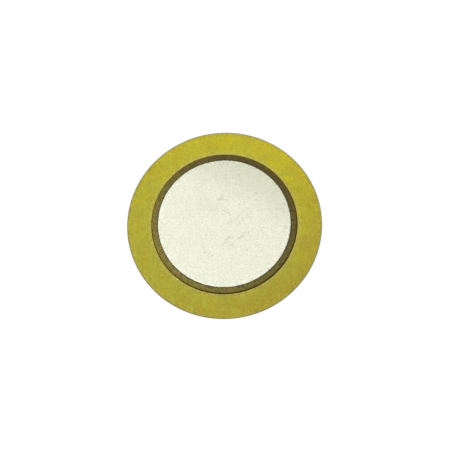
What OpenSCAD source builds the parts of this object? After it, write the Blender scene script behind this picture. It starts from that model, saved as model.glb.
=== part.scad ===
// Bare piezo disc: a thin brass plate with a silvered ceramic disc glued to the middle of its face.
// Every piece is turned about +Z. Sizes are in millimetres, and the origin is the centre of the
// plate's rear face, which is the face that the disc rests on.

/* [Brass plate] */
// Diameter of the plate over the bright band of its edge
plate_d = 27; // [21:0.5:50]
// Thickness of the brass sheet
plate_t = 0.30; // [0.2:0.05:0.6]
// Width of the lip that the blanking die rolls over round the front face
rollover_w = 0.12; // [0.02:0.02:0.3]
// Drop of the rolled lip where it meets the bright band
rollover_drop = 0.06; // [0.02:0.01:0.1]
// Height of the torn band at the foot of the edge
torn_h = 0.12; // [0.02:0.02:0.2]
// Distance that the torn band draws in at the rear face
torn_in = 0.02; // [0.01:0.01:0.1]

/* [Ceramic disc] */
// Diameter of the ceramic
ceramic_d = 20; // [10:0.5:26]
// Thickness of the ceramic without its silver
ceramic_t = 0.21; // [0.12:0.01:0.5]
// Radius of the ceramic's rounded edges
ceramic_edge_r = 0.03; // [0.01:0.01:0.05]

/* [Silver electrodes] */
// Thickness of each fired silver film
silver_t = 0.01; // [0.005:0.005:0.02]
// Width over which a film's printed edge thins out
silver_edge_w = 0.03; // [0.01:0.01:0.1]
// Bare ceramic left round the upper electrode
upper_margin = 0.825; // [0.1:0.025:3]
// Bare ceramic left round the lower electrode
lower_margin = 0.4; // [0.1:0.1:3]

/* [Adhesive] */
// Thickness of the adhesive between the plate and the lower electrode
bond_t = 0.01; // [0.005:0.005:0.05]
// Width of the bead of adhesive on the plate, measured from the ceramic's wall
bead_w = 0.15; // [0.12:0.01:0.3]
// Height that the bead climbs from the plate up the ceramic's wall
bead_h = 0.15; // [0.1:0.01:0.2]
// Angle at which the bead's hollow face meets the plate
wetting_angle = 20; // [5:5:30]

/* [Hidden] */
$fn = 240;

// How far a cutting shape runs past the body that it cuts
overcut = 1;

// Heights at which the layers start, from the plate's rear face upwards
bond_z = plate_t;
lower_silver_z = bond_z + bond_t;
ceramic_z = lower_silver_z + silver_t;
upper_silver_z = ceramic_z + ceramic_t;

plate_r = plate_d / 2;
ceramic_r = ceramic_d / 2;

// Radius of the rolled lip, which leaves the front face smoothly and drops rollover_drop in rollover_w
rollover_r = (pow(rollover_w, 2) + pow(rollover_drop, 2)) / (2 * rollover_drop);

// The bead stops where the ceramic's straight wall does
bead_rise = min(bead_h, upper_silver_z - ceramic_edge_r - bond_z);
// Slope of the line from the bead's toe on the plate to its top on the wall
bead_slope = atan2(bead_rise, bead_w);
// Half the angle of the hollow arc that spans that line
bead_half_arc = bead_slope - wetting_angle;
bead_r = norm([bead_w, bead_rise]) / 2 / sin(bead_half_arc);
// Centre of the hollow arc, from the corner between plate and wall
bead_centre = [bead_w, bead_rise] / 2
    + bead_r * cos(bead_half_arc) * [sin(bead_slope), cos(bead_slope)];

// Half section of the plate: rolled lip above, bright band, and torn band below
module plate_profile() {
    difference() {
        polygon([[0, 0], [plate_r - torn_in, 0], [plate_r, torn_h], [plate_r, plate_t], [0, plate_t]]);
        translate([plate_r - rollover_w, plate_t - rollover_r])
            difference() {
                square([rollover_w + overcut, rollover_r + overcut]);
                circle(r = rollover_r);
            }
    }
}

// Half section of the ceramic, with both edges rounded
module ceramic_profile() {
    translate([0, ceramic_z]) {
        square([ceramic_r - ceramic_edge_r, ceramic_t]);
        translate([0, ceramic_edge_r])
            square([ceramic_r, ceramic_t - 2 * ceramic_edge_r]);
        for (height = [ceramic_edge_r, ceramic_t - ceramic_edge_r])
            translate([ceramic_r - ceramic_edge_r, height])
                circle(r = ceramic_edge_r);
    }
}

// Half section of a printed film that lies against the ceramic and thins out away from it.
// The film starts at height z, and its full width is on the side that faces the ceramic.
module film_profile(z, margin, ceramic_side) {
    film_r = ceramic_r - margin;
    free_side = 1 - ceramic_side;
    translate([0, z])
        polygon([
            [0, ceramic_side * silver_t],
            [film_r, ceramic_side * silver_t],
            [film_r - silver_edge_w, free_side * silver_t],
            [0, free_side * silver_t]
        ]);
}

module upper_film_profile() {
    film_profile(z = upper_silver_z, margin = upper_margin, ceramic_side = 0);
}

module lower_film_profile() {
    film_profile(z = lower_silver_z, margin = lower_margin, ceramic_side = 1);
}

// Half section of the hollow bead in the corner between the plate and the ceramic's wall
module bead_profile() {
    difference() {
        square(bead_centre);
        translate(bead_centre)
            circle(r = bead_r);
    }
}

// The adhesive fills what the ceramic and its lower film leave above the plate, and ends in the bead
module adhesive_profile() {
    difference() {
        union() {
            translate([0, bond_z])
                square([ceramic_r, ceramic_z + ceramic_edge_r - bond_z]);
            translate([ceramic_r, bond_z])
                bead_profile();
        }
        ceramic_profile();
        lower_film_profile();
    }
}

module brass_plate() {
    color([0.70, 0.65, 0.22])
        rotate_extrude() plate_profile();
}

module adhesive_bond() {
    color([0.37, 0.31, 0.10])
        rotate_extrude() adhesive_profile();
}

module lower_electrode() {
    color([0.80, 0.80, 0.74])
        rotate_extrude() lower_film_profile();
}

module ceramic_disc() {
    color([0.43, 0.39, 0.21])
        rotate_extrude() ceramic_profile();
}

module upper_electrode() {
    color([0.92, 0.92, 0.84])
        rotate_extrude() upper_film_profile();
}

brass_plate();
adhesive_bond();
lower_electrode();
ceramic_disc();
upper_electrode();
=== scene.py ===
import math
from functools import cached_property

import bpy
from bpy.props import FloatProperty, FloatVectorProperty, IntProperty, PointerProperty
from bpy.types import Operator, Panel, PropertyGroup
from mathutils import Matrix, Vector, noise


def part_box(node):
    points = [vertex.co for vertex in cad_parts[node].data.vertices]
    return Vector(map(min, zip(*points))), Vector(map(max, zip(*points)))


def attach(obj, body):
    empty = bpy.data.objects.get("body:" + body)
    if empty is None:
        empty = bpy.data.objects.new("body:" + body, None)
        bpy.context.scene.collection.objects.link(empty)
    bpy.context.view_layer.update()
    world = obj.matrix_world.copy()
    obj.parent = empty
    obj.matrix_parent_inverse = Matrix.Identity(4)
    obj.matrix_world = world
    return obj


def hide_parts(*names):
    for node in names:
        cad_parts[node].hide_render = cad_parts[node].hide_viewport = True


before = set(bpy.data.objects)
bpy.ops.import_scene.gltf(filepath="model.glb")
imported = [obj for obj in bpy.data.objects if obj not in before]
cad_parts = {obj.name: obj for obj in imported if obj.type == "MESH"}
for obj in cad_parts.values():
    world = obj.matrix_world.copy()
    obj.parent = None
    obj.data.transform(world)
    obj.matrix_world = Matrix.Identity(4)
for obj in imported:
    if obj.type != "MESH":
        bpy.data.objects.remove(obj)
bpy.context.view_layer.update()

bl_info = {
    "name": "Piezo disc",
    "version": (1, 0, 0),
    "blender": (4, 5, 0),
    "location": "3D View > Sidebar > Piezo",
    "description": "Builds a bare piezo disc from its plate, adhesive, ceramic and silver",
    "category": "Add Mesh",
}

BODY = "root"
MM = 0.001
WHITE = (1.0, 1.0, 1.0)


# ---------------------------------------------------------------- settings

# Fewest steps that a turned piece may have
FEWEST_STEPS = 12


def length(label, about, millimetres, lowest=0.0):
    """A size that a user may change, given here in millimetres and kept in metres."""
    return FloatProperty(name=label, description=about, default=millimetres * MM, min=lowest * MM,
                         precision=6, unit="LENGTH")


def angle(label, about, degrees):
    return FloatProperty(name=label, description=about, default=math.radians(degrees), unit="ROTATION")


def share(label, about, value, highest=1.0):
    return FloatProperty(name=label, description=about, default=value, min=0.0, max=highest,
                         subtype="FACTOR")


def count(label, about, value):
    return IntProperty(name=label, description=about, default=value, min=FEWEST_STEPS)


def colour(label, about, value):
    return FloatVectorProperty(name=label, description=about, default=value, min=0.0, max=1.0,
                               size=3, subtype="COLOR")


def node_radius(node):
    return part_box(node)[1].x


def node_heights(node):
    lowest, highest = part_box(node)
    return lowest.z, highest.z


class PlateSettings(PropertyGroup):
    lip_width: length("Lip width", "Width of the lip that the blanking die rolled over", 0.12)
    lip_drop: length("Lip drop", "How far the rolled lip drops to the bright band", 0.06)
    torn_height: length("Torn height", "Height of the torn band at the foot of the edge", 0.12)
    torn_inset: length("Torn inset", "How far the torn band draws in at the rear face", 0.02)
    torn_depth: length("Torn depth", "Depth of the broken grain in the torn band", 0.014)
    turns: count("Turns", "Steps round the plate", 1080)
    dull_width: length("Dull width", "Width of the dull band along the edge", 0.42)
    wiped_width: length("Wiped width", "Width of the paler brass beside the adhesive", 0.75)
    margin_width: length("Margin width", "Width of the coarser brass at the face's two margins", 1.2)
    relief: length("Relief", "Height of the rolling lines and the grain", 0.0005)
    roughness: share("Roughness", "Roughness of the rolled face", 0.38)
    yellow: colour("Yellow", "Clean rolled brass", (0.380, 0.329, 0.025))
    green: colour("Green", "Brass under a thin greenish tarnish", (0.335, 0.316, 0.040))
    brown: colour("Brown", "Brass where the tarnish has gone brown", (0.353, 0.287, 0.034))
    wiped: colour("Wiped", "Brass left paler where the adhesive was wiped off", (0.368, 0.319, 0.077))
    golden: colour("Golden", "Tint of the brass on the side that tarnished least", (1.0, 0.99, 0.76))
    # Colour of a painted highlight: a pale spot that stands in for a glint beside the adhesive
    fleck: colour("Fleck", "Pale fleck beside the adhesive", (0.85, 0.77, 0.25))
    # dull and edge are partly the brass's own dull tarnish and partly painted shade of the rim and its
    # sheared side
    dull: colour("Dull", "Brass rubbed dull along the edge", (0.30, 0.275, 0.078))
    edge: colour("Edge", "Dull brass on the sheared edge", (0.22, 0.19, 0.05))
    glint: colour("Glint", "Tint of the brass where light grazes it", (0.88, 0.82, 0.5))


class CeramicSettings(PropertyGroup):
    edge_radius: length("Edge radius", "Rounding of the ceramic's two edges", 0.03)
    turns: count("Turns", "Steps round the ceramic", 720)
    relief: length("Relief", "Height of the fired grain", 0.001)
    roughness: share("Roughness", "Roughness of the fired face", 0.58)
    gloss: share("Gloss", "Strength of the ceramic's reflections", 0.25)
    # light and dark are the ends of the ceramic's tone, which is partly its own mottle and partly a painted
    # shade towards one side
    light: colour("Light", "Fired ceramic where it came out palest", (0.200, 0.1665, 0.037))
    dark: colour("Dark", "Fired ceramic where it came out darkest", (0.089, 0.064, 0.009))
    rosy: colour("Rosy", "Tint of the ceramic's pinkish patches", (1.0, 0.925, 1.0))
    olive: colour("Olive", "Tint of the ceramic's greenish patches", (0.96, 0.97, 0.84))
    stain: colour("Stain", "Tint of the adhesive that has soaked in along the outer edge", (0.98, 0.92, 0.1))


class SilverSettings(PropertyGroup):
    edge_width: length("Edge width", "Width over which a printed film thins out", 0.03)
    ragged: length("Ragged edge", "How far the printed edge draws in between threads", 0.035)
    thread: length("Thread pitch", "Pitch of the printing screen", 0.16)
    turns: count("Turns", "Steps round a film", 1440)
    relief: length("Relief", "Height of the screen's weave and the grain", 0.0008)
    roughness: share("Roughness", "Roughness of the fired silver", 0.58)
    metallic: share("Metallic", "How much of the film reflects as metal does", 0.55)
    pale: colour("Pale", "Fired silver", (0.750, 0.760, 0.620))
    # grey is the silver under a painted shade on one side
    grey: colour("Grey", "Fired silver where the print is thin", (0.637, 0.650, 0.503))
    mark: colour("Mark", "Scratches and specks in the silver", (0.36, 0.365, 0.28))


class AdhesiveSettings(PropertyGroup):
    wetting_angle: angle("Wetting angle", "Angle at which the bead's face meets the plate", 20)
    bead_wander: length("Bead wander", "How far the bead's toe wanders in and out", 0.02)
    bead_lean: length("Bead lean", "How much wider the bead is on the side that +Y points to", 0.03)
    turns: count("Turns", "Steps round the bead", 1080)
    relief: length("Relief", "Height of the ripples in the bead", 0.001)
    roughness: share("Roughness", "Roughness of the cured adhesive", 0.30)
    gloss: share("Gloss", "Strength of the adhesive's reflections", 0.25)
    amber: colour("Amber", "Cured adhesive where it lies thin", (0.16, 0.118, 0.002))
    # umber also carries the painted shade on one side of the bead
    umber: colour("Umber", "Cured adhesive where it lies thick", (0.04, 0.026, 0.001))
    glint: colour("Glint", "Tint of the adhesive's reflections", (1.0, 0.75, 0.1))


class StageSettings(PropertyGroup):
    distance: length("Camera distance", "From the disc to the camera", 150.0)
    elevation: angle("Camera elevation", "Height of the camera above the horizon", 72.5)
    roll: angle("Camera roll", "Turn of the camera about its own axis, clockwise", 7.15)
    aim_across: length("Aim across", "How far the camera stands to the right of its aim", 0.24, -10.0)
    aim_along: length("Aim along", "How far the camera stands above its aim", -0.395, -10.0)
    lens: length("Focal length", "Focal length on a sensor 36 mm wide", 86.3)
    sky: share("Sky", "Light that comes from all round", 0.63, 2.0)
    key: share("Key lamp", "Light of the soft lamp at the near left", 0.38, 4.0)
    rear: share("Rear lamp", "Light of the soft lamp at the far side", 0.08, 4.0)
    floor_glow: share("Floor glow", "Share of the floor's white that shadows don't reach", 0.75)


# ---------------------------------------------------------------- shaders

# Places of a Mix node's two colour inputs and of its colour output
MIX_FIRST = 6
MIX_SECOND = 7
MIX_RESULT = 2
# Middle of the Noise node's output, and how far most of it keeps to either side
NOISE_MIDDLE = 0.5
NOISE_REACH = 0.25
# Smallest speck as a share of the largest, and faintest as a share of the strongest
SPECK_SMALLEST = 0.4
SPECK_FAINTEST = 0.3
# Share of a speck's reach that is solid, before it fades
SPECK_CORE = 0.4
# How many cells a seed moves the specks by, and how softly a cell's chance is judged
SPECK_SHIFT = 99
SPECK_SOFTNESS = 0.01
# Share of a stroke's width that is solid, before it fades
STROKE_CORE = 0.2


class Value:
    """An output of a shader node. Sums on it add the Math nodes that work them out, and | is the larger
    of two values, which joins two masks."""

    def __init__(self, finish, socket):
        self.finish = finish
        self.socket = socket

    def maths(self, operation, first, second):
        return self.finish.node("ShaderNodeMath", {"operation": operation}, {0: first, 1: second})

    def __add__(self, other):
        return self.maths("ADD", self, other)

    def __radd__(self, other):
        return self.maths("ADD", other, self)

    def __sub__(self, other):
        return self.maths("SUBTRACT", self, other)

    def __rsub__(self, other):
        return self.maths("SUBTRACT", other, self)

    def __mul__(self, other):
        return self.maths("MULTIPLY", self, other)

    def __rmul__(self, other):
        return self.maths("MULTIPLY", other, self)

    def __pow__(self, other):
        return self.maths("POWER", self, other)

    def __rpow__(self, other):
        return self.maths("POWER", other, self)

    def __or__(self, other):
        return self.maths("MAXIMUM", self, other)

    def __ror__(self, other):
        return self.maths("MAXIMUM", other, self)


class Finish:
    """A material or world in the making: node() adds any node, and the rest are its short forms.
    across() goes by the radius, in millimetres, of the disc that the finish covers."""

    def __init__(self, owner, radius=1.0):
        owner.use_nodes = True
        self.owner = owner
        self.radius = radius
        self.tree = owner.node_tree
        self.tree.nodes.clear()

    def node(self, kind, settings=None, inputs=None, output=0):
        made = self.tree.nodes.new(kind)
        for name, value in (settings or {}).items():
            setattr(made, name, value)
        for name, value in (inputs or {}).items():
            socket = made.inputs[name]
            if isinstance(value, Value):
                self.tree.links.new(value.socket, socket)
            elif socket.type == "RGBA":
                socket.default_value = (*value, 1.0)
            else:
                socket.default_value = value
        return Value(self, made.outputs[output]) if made.outputs else made

    def vector(self, operation, first, second, output=0):
        return self.node("ShaderNodeVectorMath", {"operation": operation}, {0: first, 1: second}, output)

    def part(self, vector, axis):
        """The X, Y or Z part of a vector, or the part of a colour that stands in the same place."""
        return self.node("ShaderNodeSeparateXYZ", inputs={0: vector}, output=axis)

    @cached_property
    def point(self):
        """The place on the object, in millimetres."""
        place = self.node("ShaderNodeTexCoord", output="Object")
        return self.vector("MULTIPLY", place, (1 / MM,) * 3)

    @cached_property
    def flat(self):
        """The point, dropped to the height of the origin."""
        return self.vector("MULTIPLY", self.point, (1.0, 1.0, 0.0))

    @cached_property
    def from_axis(self):
        """Distance from the turning axis, in millimetres."""
        return self.node("ShaderNodeVectorMath", {"operation": "LENGTH"}, {0: self.flat}, "Value")

    def across(self, bearing):
        """From -1 on one side of the disc to 1 on the side at that bearing."""
        turn = math.radians(bearing)
        way = (math.cos(turn) / self.radius, math.sin(turn) / self.radius, 0.0)
        return self.vector("DOT_PRODUCT", self.point, way, "Value")

    def noise(self, size, detail=2.0, rough=0.5, seed=0.0, squeeze=None):
        """Soft noise from about -1 to 1, with blotches of about that size. A squeeze under 1 along an
        axis draws them out along it."""
        point = self.vector("MULTIPLY", self.point, squeeze) if squeeze else self.point
        inputs = {"Vector": point, "W": seed, "Scale": 1 / size, "Detail": detail, "Roughness": rough}
        raw = self.node("ShaderNodeTexNoise", {"noise_dimensions": "4D"}, inputs)
        return (raw - NOISE_MIDDLE) * (1 / NOISE_REACH)

    def ramp(self, value, low, high, start=0.0, end=1.0):
        """Runs smoothly from start to end while value goes from low to high."""
        inputs = {"Value": value, "From Min": low, "From Max": high, "To Min": start, "To Max": end}
        return self.node("ShaderNodeMapRange", {"interpolation_type": "SMOOTHSTEP"}, inputs)

    def fade(self, value, low, high):
        """Runs smoothly from 1 to 0 while value goes from low to high."""
        return self.ramp(value, low, high, start=1.0, end=0.0)

    def specks(self, pitch, size, kept, seed):
        """Specks up to that size, faint to strong, in the share of the pitch's cells that is kept."""
        shifted = self.vector("ADD", self.point, (seed * pitch * SPECK_SHIFT, 0.0, 0.0))
        inputs = {"Vector": shifted, "Scale": 1 / pitch}
        settings = {"voronoi_dimensions": "2D"}
        distance = self.node("ShaderNodeTexVoronoi", settings, inputs, "Distance")
        cell = self.node("ShaderNodeTexVoronoi", settings, inputs, "Color")
        chance, width, strength = (self.part(cell, axis) for axis in "XYZ")
        chosen = self.ramp(chance, 1 - kept, 1 - kept + SPECK_SOFTNESS)
        shown = SPECK_FAINTEST + (1 - SPECK_FAINTEST) * strength
        reach = (SPECK_SMALLEST + (1 - SPECK_SMALLEST) * width) * (size / pitch / 2)
        return chosen * shown * self.fade(distance, SPECK_CORE * reach, reach)

    def stroke(self, start, end, width):
        """A soft mark along the line from start to end, on a face that looks up."""
        start = Vector((*start, 0.0))
        along = Vector((*end, 0.0)) - start
        offset = self.vector("SUBTRACT", self.flat, tuple(start))
        reach = self.vector("DOT_PRODUCT", offset, tuple(along / along.length_squared), "Value")
        held = self.node("ShaderNodeClamp", inputs={0: reach})
        gap = self.vector("DISTANCE", offset, self.scaled(tuple(along), held), "Value")
        return self.fade(gap, STROKE_CORE * width, width)

    def marked(self, marks, strokes, mask):
        """Joins strokes, each with its two ends, width and strength, to the marks that are there. They
        show where the mask does."""
        for start, end, width, strength in strokes:
            marks = marks | self.stroke(start, end, width) * mask * strength
        return marks

    def mix(self, factor, first, second):
        """Colour that goes from first to second as factor goes from 0 to 1."""
        inputs = {0: factor, MIX_FIRST: first, MIX_SECOND: second}
        return self.node("ShaderNodeMix", {"data_type": "RGBA"}, inputs, MIX_RESULT)

    def scaled(self, vector, factor):
        return self.node("ShaderNodeVectorMath", {"operation": "SCALE"}, {0: vector, "Scale": factor})

    def bump(self, height, depth):
        """Normal of a surface whose relief is that height times depth, in metres."""
        return self.node("ShaderNodeBump", inputs={"Strength": 1.0, "Distance": depth, "Height": height})

    def seen(self):
        """1 for rays from the camera and in reflections, where the surroundings show white."""
        camera, glossy, through = (
            self.node("ShaderNodeLightPath", output=name)
            for name in ("Is Camera Ray", "Is Glossy Ray", "Is Transmission Ray")
        )
        return camera | glossy | through

    def mix_shaders(self, factor, first, second):
        return self.node("ShaderNodeMixShader", inputs={0: factor, 1: first, 2: second})

    def surface(self, **inputs):
        named = {key.replace("_", " ").title().replace("Ior", "IOR"): value for key, value in inputs.items()}
        return self.node("ShaderNodeBsdfPrincipled", inputs=named)

    def end(self, shader, kind="ShaderNodeOutputMaterial"):
        self.node(kind, inputs={"Surface": shader})
        return self.owner


def new_finish(name, node):
    """A finish for a disc of that node's radius."""
    return Finish(bpy.data.materials.new(name), node_radius(node) / MM)


# ---------------------------------------------------------------- brass

# Squeeze that draws noise out into rolling lines along Y
BRASS_ROLLING = (1.0, 0.08, 1.0)
# Sides of the plate, as bearings in degrees from +X towards +Y
BRASS_CLEAN_SIDE = 104
BRASS_GREEN_SIDE = 165
BRASS_GOLDEN_SIDE = 73
# Side towards which a faint painted shade darkens the face
BRASS_DIM_SIDE = 250
# Side whose lip and sheared edge carry a painted shadow
BRASS_LIP_SHADOW_SIDE = 212
# How much the clean and the green side count beside the clouds and the mottle
BRASS_CLEAN_PULL = 0.7
BRASS_GREEN_PULL = 0.3
# How far green gives way to blooms at the edge, and blooms to green beside the adhesive
BRASS_OUTWARD = 0.25
# How far each tone can cover the one under it
BRASS_GREEN_COVER = 0.85
BRASS_BLOOM_COVER = 0.7
BRASS_WIPED_COVER = 0.8
BRASS_DULL_COVER = 0.8
# How much each of these lightens or darkens the brass
BRASS_GRAIN = 0.14
BRASS_LINES = 0.05
BRASS_CLOUDS = 0.03
BRASS_MARGIN_MOTTLE = 0.05
# Painted shade: how much the face darkens towards its dim side
BRASS_DIMMING = 0.015
BRASS_MARKS = 0.14
# Painted shadow: how much the lip and the sheared edge darken on that side
BRASS_LIP_SHADOW = 0.4
BRASS_CLEAN_LINE = 0.06
BRASS_TORN = 0.15
# Powers that draw the wiped brass towards the adhesive, and the lip's painted shadow towards its side
BRASS_WIPED_POWER = 1.5
BRASS_LIP_SHADOW_POWER = 3
# Widths in millimetres: the strip along the edge where the outer margin is full, the clean line
# beside the adhesive, and the blend from the face to the sheared edge
BRASS_OUTER_STRIP = 0.1
BRASS_CLEAN_WIDTH = 0.22
BRASS_EDGE_BLEND = 0.04
# Where the lip's painted shadow starts and where it is full, in lip widths in from the edge
BRASS_LIP_SHADOW_START = 2
BRASS_LIP_SHADOW_FULL = 0.5
# How much the mottle, the lines and the dull band roughen the brass
BRASS_MOTTLE_ROUGHNESS = 0.03
BRASS_LINE_ROUGHNESS = 0.02
BRASS_DULL_ROUGHNESS = 0.10
# Share of the relief that is rolling lines, and the share that is grain
BRASS_LINE_RELIEF = 0.6
BRASS_GRAIN_RELIEF = 0.4
# Dark stains on the brass, in millimetres: one end, other end, width and strength
BRASS_STAINS = (
    ((10.3, 3.9), (10.9, 3.5), 0.7, 0.6),
    ((11.9, 1.0), (12.2, 0.6), 0.6, 0.7),
)
# Brown blooms on the brass, in the same form
BRASS_BLOOMS = (
    ((-1.5, 12.5), (-0.6, 11.7), 0.9, 0.7),
    ((4.0, 12.0), (5.1, 11.4), 0.9, 0.5),
    ((10.3, 6.8), (10.7, 6.2), 0.7, 0.7),
    ((-4.9, -11.9), (-4.4, -12.1), 0.7, 0.8),
    ((-2.8, -12.5), (-0.9, -12.7), 0.6, 0.7),
    ((5.9, -11.3), (6.5, -10.9), 0.7, 0.6),
)
# Painted highlight beside the bead of adhesive, a pale spot for a glint, in millimetres: one end, other end
# and width
BRASS_HIGHLIGHT = ((-7.31, -7.18), (-7.27, -7.16), 0.13)


def brass_tarnish(finish, settings, mottle, clouds, outward, front):
    """Colour of the plate: brown to yellow in clouds, greener in mottles, with brown blooms, and more
    golden on one side."""
    clean = finish.across(BRASS_CLEAN_SIDE) * BRASS_CLEAN_PULL + clouds
    tone = finish.mix(finish.ramp(clean, low=-0.8, high=0.8), settings.brown, settings.yellow)
    tarnish = finish.across(BRASS_GREEN_SIDE) * BRASS_GREEN_PULL + mottle - outward
    green = finish.ramp(tarnish, low=-0.7, high=0.6) * BRASS_GREEN_COVER
    tone = finish.mix(green, tone, settings.green)
    patches = finish.noise(size=1.5, detail=3.0, rough=0.6, seed=19.0)
    blooms = finish.ramp(patches + outward, low=0.1, high=0.8) * BRASS_BLOOM_COVER
    tone = finish.mix(finish.marked(blooms, BRASS_BLOOMS, front), tone, settings.brown)
    golden = finish.ramp(finish.across(BRASS_GOLDEN_SIDE), low=-0.05, high=0.85)
    return finish.mix(golden, tone, finish.vector("MULTIPLY", tone, settings.golden))


def brass_margins(finish, settings, bead):
    """1 beside the adhesive and along the edge, where the brass is coarser, and 0 between them."""
    margin = settings.margin_width / MM
    inner = finish.fade(finish.from_axis, bead, bead + margin)
    outer = finish.ramp(finish.from_axis, finish.radius - margin, finish.radius - BRASS_OUTER_STRIP)
    return inner | outer


def brass_edge(finish, settings, tone, bead, front):
    """The brass with a clean line by the adhesive, a painted shadow on one side of its lip, and the sheared
    edge below it."""
    lip_width = settings.lip_width / MM
    shadow_start = finish.radius - BRASS_LIP_SHADOW_START * lip_width
    shadow_full = finish.radius - BRASS_LIP_SHADOW_FULL * lip_width
    lip = finish.ramp(finish.from_axis, shadow_start, shadow_full)
    # Painted shadow that darkens the lip and the sheared edge towards one side
    lip_shadow_side = (0.0 | finish.across(BRASS_LIP_SHADOW_SIDE)) ** BRASS_LIP_SHADOW_POWER
    shaded = 1.0 - BRASS_LIP_SHADOW * lip_shadow_side * lip
    clean_line = finish.fade(finish.from_axis, bead, bead + BRASS_CLEAN_WIDTH) * front
    tone = finish.scaled(tone, shaded + BRASS_CLEAN_LINE * clean_line)
    torn = finish.noise(size=0.09, seed=23.0)
    foot = finish.radius - settings.torn_inset / MM - settings.torn_depth / MM
    side = finish.ramp(finish.from_axis, foot - BRASS_EDGE_BLEND, foot) * (1.0 - front)
    # The sheared edge's colour is partly dull brass and partly painted shade
    return finish.mix(side, tone, finish.scaled(settings.edge, (1.0 + BRASS_TORN * torn) * shaded))


def brass_finish(settings):
    """Rolled brass sheet: cloudy tarnish over fine rolling lines, a dull sheared edge that is partly painted
    shade, a faint painted shade and a painted highlight.
    """
    finish = new_finish("rolled_brass", "brass_plate")
    bead = node_radius("adhesive_bond") / MM
    top = node_heights("brass_plate")[1] / MM
    lip_foot = top - settings.lip_drop / MM
    lines = finish.noise(size=0.22, detail=3.0, squeeze=BRASS_ROLLING)
    grain = finish.noise(size=0.2, detail=1.0, rough=0.6, seed=3.0)
    mottle = finish.noise(size=1.35, rough=0.55, seed=7.0)
    clouds = finish.noise(size=2.6, rough=0.6, seed=11.0)
    outward = finish.ramp(finish.from_axis, bead, finish.radius, -BRASS_OUTWARD, BRASS_OUTWARD)
    front = finish.ramp(finish.part(finish.point, "Z"), lip_foot, top)

    tone = brass_tarnish(finish, settings, mottle, clouds, outward, front)
    wiped = finish.fade(finish.from_axis, bead, bead + settings.wiped_width / MM)
    wiped = wiped ** BRASS_WIPED_POWER * front
    tone = finish.mix(wiped * BRASS_WIPED_COVER, tone, settings.wiped)
    # The dull band is partly dull tarnish and partly painted shade along the rim
    dull_start = finish.radius - settings.dull_width / MM
    dull = finish.ramp(finish.from_axis, dull_start, finish.radius - settings.lip_width / MM)
    tone = finish.mix(dull * BRASS_DULL_COVER, tone, settings.dull)

    margins = brass_margins(finish, settings, bead)
    marks = finish.specks(pitch=1.6, size=0.4, kept=0.2, seed=5.0)
    marks = finish.marked(marks, BRASS_STAINS, front)
    light = 1.0 + (BRASS_GRAIN * grain + BRASS_LINES * lines) * (1.0 + margins) + BRASS_CLOUDS * clouds
    light = light + BRASS_MARGIN_MOTTLE * mottle * margins
    # The dim side's term is a faint painted shade
    light = light - BRASS_DIMMING * finish.across(BRASS_DIM_SIDE) - BRASS_MARKS * marks
    tone = finish.scaled(tone, light)
    # Painted highlight beside the adhesive
    tone = finish.mix(finish.stroke(*BRASS_HIGHLIGHT) * front, tone, settings.fleck)
    tone = brass_edge(finish, settings, tone, bead, front)

    uneven = BRASS_MOTTLE_ROUGHNESS * mottle + BRASS_LINE_ROUGHNESS * lines + BRASS_DULL_ROUGHNESS * dull
    relief = BRASS_LINE_RELIEF * lines + BRASS_GRAIN_RELIEF * grain
    return finish.end(finish.surface(
        base_color=tone, metallic=1.0, roughness=settings.roughness + uneven,
        specular_tint=settings.glint, normal=finish.bump(relief, settings.relief),
    ))


# ---------------------------------------------------------------- ceramic

# Sides of the ceramic, as bearings in degrees from +X towards +Y: the side that a painted shade darkens, a
# line that is darker towards both its ends, and the side where a painted shadow darkens the brim
CERAMIC_SHADE_SIDE = 38
CERAMIC_DARK_ENDS = 90
CERAMIC_BRIM_SHADOW_SIDE = 288
# How much the painted shade of one side, the dark ends and the mottle count in the tone
CERAMIC_SIDE_PULL = 0.45
CERAMIC_END_PULL = 0.15
CERAMIC_MOTTLE_PULL = 0.10
# Adhesive soaked into the edge, in millimetres in from it: where it starts, where it is full, and how
# far its limit wanders
CERAMIC_WET_START = 0.30
CERAMIC_WET_FULL = 0.03
CERAMIC_WET_WANDER = 0.03
# Widths in millimetres of the brim that a painted shadow darkens on one side, and of the dark line by the
# silver
CERAMIC_BRIM = 0.32
CERAMIC_LINE_WIDTH = 0.32
# How light the ceramic is all over, and how much each of these lightens or darkens it
CERAMIC_LEVEL = 1.03
CERAMIC_GRAIN = 0.60
CERAMIC_MOTTLE = 0.13
CERAMIC_PATCHES = 0.10
CERAMIC_LINE = 0.48
# Strength of the painted shadow on the brim
CERAMIC_BRIM_SHADOW = 0.3
# How much the grain roughens the ceramic, and how much the soaked adhesive smooths it
CERAMIC_GRAIN_ROUGHNESS = 0.04
CERAMIC_WET_SMOOTHNESS = 0.12


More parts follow.
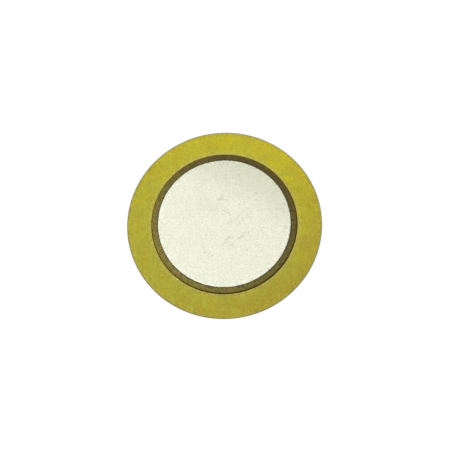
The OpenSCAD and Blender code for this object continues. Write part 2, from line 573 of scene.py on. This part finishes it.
def ceramic_finish(settings):
    """Fired ceramic: fine dark grain, a painted shade across the disc, a painted shadow on one side of the
    brim, and an amber outer edge.
    """
    finish = new_finish("fired_ceramic", "ceramic_disc")
    radius = finish.radius
    silver = node_radius("upper_electrode") / MM
    grain = finish.noise(size=0.19, detail=1.0, rough=0.6, seed=2.0)
    mottle = finish.noise(size=0.8, detail=3.0, rough=0.6, seed=5.0)
    patches = finish.noise(size=1.8, detail=3.0, rough=0.6, seed=8.0)

    ends = finish.across(CERAMIC_DARK_ENDS)
    # Painted shade: the tone darkens towards the shaded side
    dark = finish.across(CERAMIC_SHADE_SIDE) * CERAMIC_SIDE_PULL + CERAMIC_END_PULL * ends * ends
    dark = dark + CERAMIC_MOTTLE_PULL * mottle
    tone = finish.mix(finish.ramp(dark, low=-0.45, high=0.6), settings.light, settings.dark)
    wandering = finish.from_axis + CERAMIC_WET_WANDER * mottle
    wet = finish.ramp(wandering, radius - CERAMIC_WET_START, radius - CERAMIC_WET_FULL)
    tone = finish.mix(wet, tone, finish.vector("MULTIPLY", tone, settings.stain))
    tint = finish.mix(finish.ramp(patches, low=-0.45, high=0.45), settings.olive, settings.rosy)
    tone = finish.vector("MULTIPLY", tone, tint)

    # Painted shadow: the brim darkens towards one side
    brim_shadow_side = 0.0 | finish.across(CERAMIC_BRIM_SHADOW_SIDE)
    brim = finish.ramp(finish.from_axis, radius - CERAMIC_BRIM, radius)
    beside_silver = finish.fade(finish.from_axis, silver, silver + CERAMIC_LINE_WIDTH)
    light = CERAMIC_LEVEL + CERAMIC_GRAIN * grain + CERAMIC_MOTTLE * mottle + CERAMIC_PATCHES * patches
    light = light - CERAMIC_LINE * beside_silver
    tone = finish.scaled(tone, light * (1.0 - CERAMIC_BRIM_SHADOW * brim_shadow_side * brim))
    rough = settings.roughness + CERAMIC_GRAIN_ROUGHNESS * grain - CERAMIC_WET_SMOOTHNESS * wet
    return finish.end(finish.surface(
        base_color=tone, roughness=rough, specular_ior_level=settings.gloss,
        normal=finish.bump(grain, settings.relief),
    ))


# ---------------------------------------------------------------- silver

# Sides of the silver, as bearings in degrees from +X towards +Y: the side that a painted shade greys, and
# the side that a faint painted light lightens
SILVER_SHADE_SIDE = 57
SILVER_LIGHT_SIDE = 290
# How far the clouds shift the limit of the painted shade
SILVER_GREY_WANDER = 0.06
# Squeezes that draw noise out into the screen's two sets of threads
SILVER_THREADS = ((1.0, 0.2, 1.0), (0.2, 1.0, 1.0))
# Brim where the silver is coarser, in shares of its radius, and how much coarser it is
SILVER_BRIM_START = 0.90
SILVER_BRIM_FULL = 0.98
SILVER_BRIM_GAIN = 0.9
# How much each of these lightens or darkens the silver
SILVER_GRAIN = 0.14
SILVER_MESH = 0.03
# Painted light: how much the silver lightens towards its light side
SILVER_LEAN = 0.012
# How strong the pits are among the marks, and how far the marks can cover the silver
SILVER_PITS = 0.4
SILVER_MARK_COVER = 0.6
# A speck is as long as its width divided by this
SILVER_SPECK_SLENDERNESS = 3
# How much the grain roughens the silver, and how much weave and grain each count in its relief
SILVER_GRAIN_ROUGHNESS = 0.03
SILVER_MESH_RELIEF = 0.5
SILVER_GRAIN_RELIEF = 0.5
# Scratches and smudges in the upper silver, in millimetres: one end, other end, width and strength
SILVER_STROKES = (
    ((-0.4, 3.5), (0.1, 3.5), 0.32, 0.85),
    ((0.1, 3.5), (0.8, 3.2), 0.24, 0.5),
    ((0.2, 4.1), (0.1, 3.6), 0.26, 0.5),
    ((-0.1, 1.9), (0.9, 1.2), 0.14, 0.7),
    ((-0.2, -2.5), (0.5, -2.2), 0.22, 0.9),
    ((-0.6, -3.2), (0.0, -2.7), 0.16, 0.7),
    ((-1.5, -3.4), (-0.6, -3.2), 0.12, 0.35),
    ((1.6, -2.6), (2.1, -2.3), 0.20, 0.7),
    ((2.2, -2.3), (2.6, -1.7), 0.15, 0.6),
    ((0.4, -3.3), (0.9, -3.3), 0.28, 0.5),
    ((1.0, 0.4), (0.9, -0.1), 0.18, 0.5),
    ((2.8, 1.4), (1.7, 0.3), 0.22, 0.4),
    ((2.7, 0.4), (2.6, 0.0), 0.16, 0.5),
    ((-2.5, 3.4), (-1.3, 2.4), 1.5, 0.26),
    ((7.4, 1.0), (8.2, 0.9), 0.16, 0.9),
    ((8.2, 0.5), (8.5, 0.4), 0.22, 0.5),
    ((6.5, 0.9), (7.2, 0.1), 0.3, 0.25),
    ((6.9, 1.8), (8.2, 1.5), 1.0, 0.14),
    ((2.6, 8.0), (3.1, 7.8), 0.4, 0.3),
)
# Specks in the upper silver, in millimetres: place, width and strength
SILVER_SPECKS = (
    ((0.0, 1.2), 0.16, 1.0),
    ((2.6, -4.3), 0.24, 0.8),
    ((-3.2, -3.9), 0.24, 0.8),
    ((-2.7, -1.5), 0.22, 0.7),
    ((8.3, -1.8), 0.26, 0.8),
    ((-2.2, -4.5), 0.20, 1.0),
    ((-2.6, -4.2), 0.16, 0.6),
    ((4.9, 3.7), 0.20, 1.0),
    ((4.8, 2.7), 0.18, 1.0),
    ((2.8, 6.8), 0.26, 0.8),
    ((0.9, 6.5), 0.26, 0.5),
    ((2.2, 5.4), 0.18, 0.5),
    ((5.5, -0.5), 0.18, 0.7),
    ((4.9, -1.8), 0.16, 0.9),
    ((2.2, -2.3), 0.26, 1.0),
    ((1.1, -2.9), 0.18, 0.7),
    ((0.7, -3.6), 0.18, 0.6),
    ((2.0, -0.4), 0.18, 0.7),
    ((2.4, 2.4), 0.18, 0.7),
    ((3.7, 1.6), 0.18, 0.7),
    ((3.4, 0.8), 0.18, 0.6),
    ((3.1, -1.9), 0.18, 0.6),
    ((7.4, -0.4), 0.40, 0.25),
)


def silver_marks(finish, grain):
    """Pits, scratches, smudges and specks, broken up by the grain of the silver."""
    pits = finish.specks(pitch=0.7, size=0.3, kept=0.2, seed=1.0) * SILVER_PITS
    broken = finish.ramp(grain, low=-0.7, high=0.4)
    specks = [
        ((east, north), (east + width / SILVER_SPECK_SLENDERNESS, north), width, strength)
        for (east, north), width, strength in SILVER_SPECKS
    ]
    return finish.marked(pits, (*SILVER_STROKES, *specks), broken)


def silver_finish(settings):
    """Fired silver paste: pale and matte, with a fine grain, specks and scratches, a painted shade on one
    side and a faint painted light on the other.
    """
    finish = new_finish("fired_silver", "upper_electrode")
    radius = finish.radius
    warp, weft = (finish.noise(size=0.22, detail=1.0, seed=4.0, squeeze=way) for way in SILVER_THREADS)
    mesh = warp + weft
    grain = finish.noise(size=0.17, detail=1.0, rough=0.6, seed=9.0)
    clouds = finish.noise(size=2.2, detail=3.0, rough=0.6, seed=13.0)

    # Painted shade: the silver greys towards its shaded side
    side = finish.across(SILVER_SHADE_SIDE) + SILVER_GREY_WANDER * clouds
    tone = finish.mix(finish.ramp(side, low=0.22, high=0.9), settings.pale, settings.grey)
    brim = finish.ramp(finish.from_axis, SILVER_BRIM_START * radius, SILVER_BRIM_FULL * radius)
    texture = (SILVER_GRAIN * grain + SILVER_MESH * mesh) * (1.0 + SILVER_BRIM_GAIN * brim)
    # The last term is a faint painted light towards the light side
    tone = finish.scaled(tone, 1.0 + texture + SILVER_LEAN * finish.across(SILVER_LIGHT_SIDE))
    marks = silver_marks(finish, grain)
    tone = finish.mix(marks * SILVER_MARK_COVER, tone, settings.mark)
    relief = SILVER_MESH_RELIEF * mesh + SILVER_GRAIN_RELIEF * grain - marks
    return finish.end(finish.surface(
        base_color=tone, metallic=settings.metallic,
        roughness=settings.roughness + SILVER_GRAIN_ROUGHNESS * grain,
        normal=finish.bump(relief, settings.relief),
    ))


# ---------------------------------------------------------------- adhesive

# Side where a painted shade darkens the bead, as a bearing in degrees from +X towards +Y, and how much it
# counts
ADHESIVE_SHADOW_SIDE = 282
ADHESIVE_SHADOW_PULL = 0.65
# How much the flow of the adhesive changes its tone and its roughness
ADHESIVE_FLOW = 0.25
ADHESIVE_FLOW_ROUGHNESS = 0.04


def adhesive_finish(settings):
    """Cured adhesive: glossy and amber, darker near the ceramic's wall, and darker on one side under a
    painted shade.
    """
    finish = new_finish("cured_adhesive", "ceramic_disc")
    wall = finish.radius
    reach = node_radius("adhesive_bond") / MM
    flow = finish.noise(size=0.6, seed=6.0)
    # Painted shade: the bead darkens towards its shadow side
    thick_and_shade = ADHESIVE_SHADOW_PULL * finish.across(ADHESIVE_SHADOW_SIDE)
    toe = finish.ramp(finish.from_axis, wall, reach) + ADHESIVE_FLOW * flow - thick_and_shade
    tone = finish.mix(finish.ramp(toe, low=0.0, high=1.0), settings.umber, settings.amber)
    return finish.end(finish.surface(
        base_color=tone, roughness=settings.roughness + ADHESIVE_FLOW_ROUGHNESS * flow,
        specular_ior_level=settings.gloss, specular_tint=settings.glint,
        normal=finish.bump(flow, settings.relief),
    ))


# ---------------------------------------------------------------- shapes

# How strongly the rings of a flat face crowd towards its rim, where 0 spaces them evenly
CROWDED = 0.9
# Broken grain of the torn band: its pitch in millimetres, how soon it reaches full depth, and the
# fall, spacing and number of the noise's octaves
BREAK_PITCH = 0.1
BREAK_GAIN = 2
BREAK_OCTAVES = (1.0, 2.0, 2)
# How soon the silver's ragged edge reaches its full depth
RAGGED_GAIN = 2
# Waves in the toe of the bead: pitch in millimetres, share and seed
BEAD_WAVES = ((1.4, 1.0, 2), (0.35, 0.5, 5))
# Keeps wander() off the planes where its noise is nil
BETWEEN_PLANES = 0.5


def run(start, end, steps, crowding=0.0):
    """Points from start up to, but not on, end. Crowding draws them towards the end, or towards the
    start if it is negative."""
    points = []
    for step in range(steps):
        share_done = step / steps
        share_done += crowding * share_done * (1 - share_done)
        points.append(tuple(a + (b - a) * share_done for a, b in zip(start, end)))
    return points


def arc(centre, radius, first, last, steps):
    """Points on an arc from one angle up to, but not at, another, in radians."""
    return [
        (centre[0] + radius * math.cos(turn), centre[1] + radius * math.sin(turn))
        for turn in (first + (last - first) * step / steps for step in range(steps))
    ]


def turned(name, section, turns, moved=None):
    """Solid made by turning a section about the Z axis. The section's points are (radius, height), and
    it starts and ends on the axis. moved(radius, height, turn) may give a point another place."""
    rings = section[1:-1]
    points = [(0.0, 0.0, section[0][1])]
    for radius, height in rings:
        for step in range(turns):
            turn = math.tau * step / turns
            far, up = moved(radius, height, turn) if moved else (radius, height)
            points.append((far * math.cos(turn), far * math.sin(turn), up))
    points.append((0.0, 0.0, section[-1][1]))
    last = len(points) - 1
    faces = []
    for step in range(turns):
        following = (step + 1) % turns
        faces.append((0, 1 + following, 1 + step))
        for ring in range(len(rings) - 1):
            low = 1 + ring * turns
            high = low + turns
            faces.append((low + step, low + following, high + following, high + step))
        top = 1 + (len(rings) - 1) * turns
        faces.append((top + step, top + following, last))
    mesh = bpy.data.meshes.new(name)
    mesh.from_pydata(points, [], faces)
    mesh.validate()
    mesh.polygons.foreach_set("use_smooth", [True] * len(mesh.polygons))
    piece = bpy.data.objects.new(name, mesh)
    bpy.context.scene.collection.objects.link(piece)
    return piece


def wander(turn, pitch, radius, seed):
    """Smooth change from -1 to 1 round a circle of that radius, with waves about two pitches long."""
    scale = radius / pitch
    return noise.noise(Vector((scale * math.cos(turn), scale * math.sin(turn), seed + BETWEEN_PLANES)))


def finished(piece, material, node):
    """Gives a piece its material and its place in the frame."""
    piece.data.materials.append(material)
    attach(piece, BODY)
    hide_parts(node)


def plate_section(settings):
    """Half section of the plate, from the centre of its rear face to the centre of its front face."""
    radius = node_radius("brass_plate")
    top = node_heights("brass_plate")[1]
    width, drop = settings.lip_width, settings.lip_drop
    lip_radius = (width**2 + drop**2) / (2 * drop)
    lip_centre = (radius - width, top - lip_radius)
    lip_start = math.atan2(lip_radius - drop, width)
    foot = (radius - settings.torn_inset, 0.0)
    ridge = (radius, settings.torn_height)
    return [
        *run((0.0, 0.0), foot, steps=10, crowding=CROWDED),
        *run(foot, ridge, steps=9),
        *run(ridge, (radius, top - drop), steps=5),
        *arc(lip_centre, lip_radius, lip_start, math.pi / 2, steps=10),
        *run((radius - width, top), (0.0, top), steps=12, crowding=-CROWDED),
        (0.0, top),
    ]


class PIEZO_OT_plate(Operator):
    """Adds the blanked brass plate, with its rolled lip, bright band and torn band"""

    bl_idname = "piezo.plate"
    bl_label = "Brass Plate"

    def execute(self, context):
        settings = context.scene.piezo_plate
        radius = node_radius("brass_plate")

        def torn(far, up, turn):
            depth = settings.torn_depth * max(0.0, 1 - up / settings.torn_height)
            if up <= 0.0 or depth == 0.0:
                return far, up
            place = Vector((radius * math.cos(turn), radius * math.sin(turn), up))
            rough = noise.fractal(place / (BREAK_PITCH * MM), *BREAK_OCTAVES)
            return far - depth * min(1.0, abs(rough) * BREAK_GAIN), up

        piece = turned("plate", plate_section(settings), settings.turns, torn)
        finished(piece, brass_finish(settings), "brass_plate")
        return {"FINISHED"}


def ceramic_section(settings):
    """Half section of the ceramic, from the centre of its lower face to the centre of its upper face."""
    radius = node_radius("ceramic_disc")
    bottom, top = node_heights("ceramic_disc")
    edge = settings.edge_radius
    quarter = math.pi / 2
    return [
        *run((0.0, bottom), (radius - edge, bottom), steps=6, crowding=CROWDED),
        *arc((radius - edge, bottom + edge), edge, -quarter, 0.0, steps=6),
        *run((radius, bottom + edge), (radius, top - edge), steps=5),
        *arc((radius - edge, top - edge), edge, 0.0, quarter, steps=6),
        *run((radius - edge, top), (0.0, top), steps=8, crowding=-CROWDED),
        (0.0, top),
    ]


class PIEZO_OT_ceramic(Operator):
    """Adds the ceramic disc with its rounded edges"""

    bl_idname = "piezo.ceramic"
    bl_label = "Ceramic Disc"

    def execute(self, context):
        settings = context.scene.piezo_ceramic
        piece = turned("ceramic", ceramic_section(settings), settings.turns)
        finished(piece, ceramic_finish(settings), "ceramic_disc")
        return {"FINISHED"}


def film_section(node, settings):
    """Half section of a silver film, whose edge thins out away from the ceramic."""
    radius = node_radius(node)
    bottom, top = node_heights(node)
    thin_edge = radius - settings.edge_width
    below = top < sum(node_heights("ceramic_disc")) / 2
    low_radius, high_radius = (thin_edge, radius) if below else (radius, thin_edge)
    return [
        *run((0.0, bottom), (low_radius, bottom), steps=4, crowding=CROWDED),
        *run((low_radius, bottom), (high_radius, top), steps=3),
        *run((high_radius, top), (0.0, top), steps=8, crowding=-CROWDED),
        (0.0, top),
    ]


def add_film(node, settings, seed):
    """One printed film, whose edge draws in between the threads of its screen."""
    radius = node_radius(node)
    inside_edge = radius - 2 * settings.edge_width

    def ragged(far, up, turn):
        if far < inside_edge:
            return far, up
        inward = abs(wander(turn, settings.thread, radius, seed))
        return far - settings.ragged * min(1.0, RAGGED_GAIN * inward), up

    return turned(node.replace("electrode", "silver"), film_section(node, settings), settings.turns, ragged)


class PIEZO_OT_electrodes(Operator):
    """Adds the two printed silver films, each with the edge that its screen left"""

    bl_idname = "piezo.electrodes"
    bl_label = "Silver Electrodes"

    def execute(self, context):
        settings = context.scene.piezo_silver
        silver = silver_finish(settings)
        for seed, node in enumerate(("lower_electrode", "upper_electrode")):
            finished(add_film(node, settings, seed), silver, node)
        return {"FINISHED"}


def bead_section(settings):
    """Half section of the adhesive: the layer under the ceramic, and the hollow bead round its foot."""
    reach = node_radius("adhesive_bond")
    bottom, rise_top = node_heights("adhesive_bond")
    wall = node_radius("ceramic_disc")
    layer_top = node_heights("lower_electrode")[0]
    ceramic_bottom = node_heights("ceramic_disc")[0]
    silver_edge = node_radius("lower_electrode")
    width, rise = reach - wall, rise_top - bottom
    slope = math.atan2(rise, width)
    half_arc = slope - settings.wetting_angle
    radius = math.hypot(width, rise) / 2 / math.sin(half_arc)
    centre = (
        wall + width / 2 + radius * math.cos(half_arc) * math.sin(slope),
        bottom + rise / 2 + radius * math.cos(half_arc) * math.cos(slope),
    )
    first = math.atan2(bottom - centre[1], reach - centre[0])
    last = math.atan2(rise_top - centre[1], wall - centre[0])
    return [
        *run((0.0, bottom), (reach, bottom), steps=4, crowding=CROWDED),
        *arc(centre, radius, first, last, steps=14),
        *run((wall, rise_top), (wall, ceramic_bottom), steps=3),
        *run((wall, ceramic_bottom), (silver_edge, ceramic_bottom), steps=2),
        *run((silver_edge, ceramic_bottom), (silver_edge, layer_top), steps=2),
        *run((silver_edge, layer_top), (0.0, layer_top), steps=3),
        (0.0, layer_top),
    ]


class PIEZO_OT_adhesive(Operator):
    """Adds the adhesive with the uneven bead that it left round the ceramic"""

    bl_idname = "piezo.adhesive"
    bl_label = "Adhesive Bond"

    def execute(self, context):
        settings = context.scene.piezo_adhesive
        wall = node_radius("ceramic_disc")
        reach = node_radius("adhesive_bond")

        def uneven(far, up, turn):
            if far <= wall:
                return far, up
            share_out = (far - wall) / (reach - wall)
            change = sum(part * wander(turn, pitch * MM, wall, seed) for pitch, part, seed in BEAD_WAVES)
            wider = settings.bead_wander * change + settings.bead_lean * math.sin(turn)
            return far + wider * share_out, up

        piece = turned("bond", bead_section(settings), settings.turns, uneven)
        finished(piece, adhesive_finish(settings), "adhesive_bond")
        return {"FINISHED"}


# ---------------------------------------------------------------- stage

# Width of the floor in metres, its colour and the strength of its glow
FLOOR_SIZE = 3.0
FLOOR_COLOUR = (0.9, 0.9, 0.9)
FLOOR_STRENGTH = 1.10
# Distances from the disc's axis, in millimetres, between which the floor fades to an even white
FLOOR_FADE = (30.0, 90.0)
# Soft lamps: bearing and height in degrees, and distance and width in millimetres
LAMPS = {
    "key": (195, 52, 160, 100),
    "rear": (80, 54, 110, 60),
}
# Nearest that the camera sees, in millimetres
CAMERA_NEAREST = 10


def floor_finish(settings):
    """White floor that keeps the shadows near the disc and fades to an even white beyond them."""
    finish = Finish(bpy.data.materials.new("white_floor"))
    glowing = finish.ramp(finish.from_axis, *FLOOR_FADE, start=settings.floor_glow, end=1.0)
    plain = finish.node("ShaderNodeBsdfDiffuse", inputs={"Color": FLOOR_COLOUR})
    glow = finish.node("ShaderNodeEmission", inputs={"Color": WHITE, "Strength": FLOOR_STRENGTH})
    shown = finish.mix_shaders(glowing, plain, glow)
    return finish.end(finish.mix_shaders(finish.seen(), plain, shown))


def sky_finish(world, settings):
    """White behind the disc and in its reflections, and a plain even light on it."""
    finish = Finish(world)
    light = finish.node("ShaderNodeBackground", inputs={"Color": WHITE, "Strength": settings.sky})
    backdrop = finish.node("ShaderNodeBackground", inputs={"Color": WHITE, "Strength": 1.0})
    finish.end(finish.mix_shaders(finish.seen(), light, backdrop), "ShaderNodeOutputWorld")


def add_floor(settings):
    half = FLOOR_SIZE / 2
    mesh = bpy.data.meshes.new("floor")
    corners = [(-half, -half, 0.0), (half, -half, 0.0), (half, half, 0.0), (-half, half, 0.0)]
    mesh.from_pydata(corners, [], [(0, 1, 2, 3)])
    mesh.materials.append(floor_finish(settings))
    floor = bpy.data.objects.new("floor", mesh)
    bpy.context.scene.collection.objects.link(floor)


def add_lamp(name, bearing, height, distance, width, level):
    """Soft square lamp that looks at the disc. Bearing turns from +X towards +Y, and a white surface
    that faces the lamp gets that level of light from it."""
    data = bpy.data.lights.new(name, "AREA")
    data.size = width
    data.energy = level * (math.pi * distance) ** 2
    lamp = bpy.data.objects.new(name, data)
    bpy.context.scene.collection.objects.link(lamp)
    flat = math.cos(height)
    way = Vector((flat * math.cos(bearing), flat * math.sin(bearing), math.sin(height)))
    lamp.location = way * distance
    lamp.rotation_euler = way.to_track_quat("Z", "Y").to_euler()


def add_camera(settings):
    data = bpy.data.cameras.new("camera")
    data.lens = settings.lens / MM
    data.clip_start = CAMERA_NEAREST * MM
    camera = bpy.data.objects.new("camera", data)
    bpy.context.scene.collection.objects.link(camera)
    aim = Vector((0.0, 0.0, node_heights("brass_plate")[1]))
    camera.matrix_world = (
        Matrix.Translation(aim)
        @ Matrix.Rotation(math.pi / 2 - settings.elevation, 4, "X")
        @ Matrix.Rotation(-settings.roll, 4, "Z")
        @ Matrix.Translation((settings.aim_across, settings.aim_along, settings.distance))
    )
    bpy.context.scene.camera = camera


class PIEZO_OT_stage(Operator):
    """Adds the white floor, the sky, the soft lamps and the camera"""

    bl_idname = "piezo.stage"
    bl_label = "Stage"

    def execute(self, context):
        settings = context.scene.piezo_stage
        context.scene.world = bpy.data.worlds.new("sky")
        sky_finish(context.scene.world, settings)
        add_floor(settings)
        for lamp, (bearing, height, distance, width) in LAMPS.items():
            turns = math.radians(bearing), math.radians(height)
            add_lamp(f"{lamp}_lamp", *turns, distance * MM, width * MM, getattr(settings, lamp))
        add_camera(settings)
        context.scene.view_settings.view_transform = "Standard"
        return {"FINISHED"}


# ---------------------------------------------------------------- panel and registration

class PIEZO_PT_panel(Panel):
    """Lists the disc's pieces and their settings"""

    bl_idname = "PIEZO_PT_panel"
    bl_label = "Piezo Disc"
    bl_space_type = "VIEW_3D"
    bl_region_type = "UI"
    bl_category = "Piezo"

    def draw(self, context):
        for group, operator in PIECES.items():
            box = self.layout.box()
            settings = getattr(context.scene, group)
            for name in settings.__annotations__:
                box.prop(settings, name)
            box.operator(operator)


PIECES = {
    "piezo_stage": "piezo.stage",
    "piezo_plate": "piezo.plate",
    "piezo_adhesive": "piezo.adhesive",
    "piezo_silver": "piezo.electrodes",
    "piezo_ceramic": "piezo.ceramic",
}
GROUPS = {
    "piezo_stage": StageSettings,
    "piezo_plate": PlateSettings,
    "piezo_adhesive": AdhesiveSettings,
    "piezo_silver": SilverSettings,
    "piezo_ceramic": CeramicSettings,
}
CLASSES = (
    *GROUPS.values(),
    PIEZO_OT_stage,
    PIEZO_OT_plate,
    PIEZO_OT_adhesive,
    PIEZO_OT_electrodes,
    PIEZO_OT_ceramic,
    PIEZO_PT_panel,
)


def register():
    for made in CLASSES:
        bpy.utils.register_class(made)
    for name, group in GROUPS.items():
        setattr(bpy.types.Scene, name, PointerProperty(type=group))


def unregister():
    for name in GROUPS:
        delattr(bpy.types.Scene, name)
    for made in reversed(CLASSES):
        bpy.utils.unregister_class(made)


def main():
    register()
    bpy.ops.piezo.stage()
    bpy.ops.piezo.plate()
    bpy.ops.piezo.adhesive()
    bpy.ops.piezo.electrodes()
    bpy.ops.piezo.ceramic()


if __name__ == "__main__":
    main()
